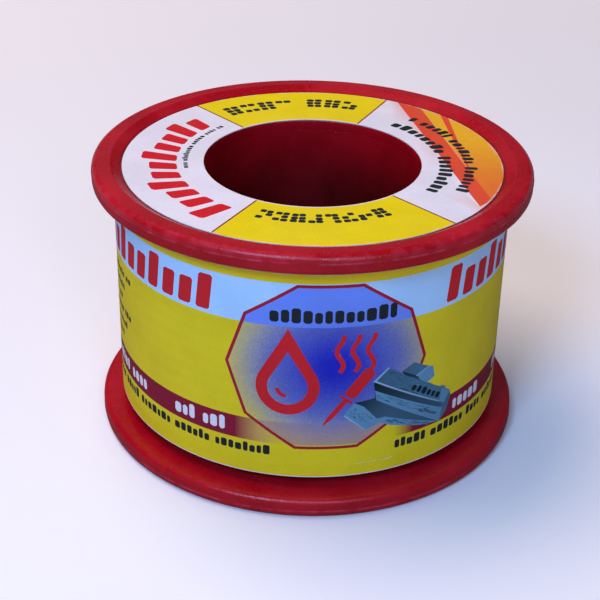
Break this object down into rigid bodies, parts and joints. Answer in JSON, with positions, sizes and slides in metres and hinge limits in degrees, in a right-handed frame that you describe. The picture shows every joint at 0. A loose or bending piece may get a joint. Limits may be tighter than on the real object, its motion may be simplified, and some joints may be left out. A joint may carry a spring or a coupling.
{
  "type": "solder wire spool",
  "caption": "Flanged moulded bobbin with a wide through bore, wound with solder wire under a wrapped paper label, and a flat ring label on its upper flange.",
  "frame": {"origin": "centre of the bounding box's bottom, on the spool's axis, in the plane of the lower rim that it stands on", "axes": "+Z along the spool's axis, from the lower flange to the labelled upper flange; -Y is the front of the wrapped label, with its badge, and the label's lap is at +Y"},
  "size_m": [0.06, 0.06, 0.0386],
  "materials": {
    "bobbin_plastic": "injection-moulded red plastic, satin gloss, with fine scuffs and a thin mould line on the rims",
    "solder_wire": null,
    "wrap_paper": "coated label paper, semi-gloss, printed in yellow, pale blue and dark red",
    "ring_paper": "coated label paper, semi-gloss, printed in yellow and white sectors"
  },
  "bodies": {
    "root": {"lower_bobbin_half": "bobbin_plastic", "upper_bobbin_half": "bobbin_plastic", "wire_start_tail": "solder_wire", "wire_layer_1": "solder_wire", "wire_layer_2": "solder_wire", "wire_layer_3": "solder_wire", "wire_layer_4": "solder_wire", "wire_layer_5": "solder_wire", "wrap_label": "wrap_paper", "top_ring_label": "ring_paper"}
  },
  "joints": []
}
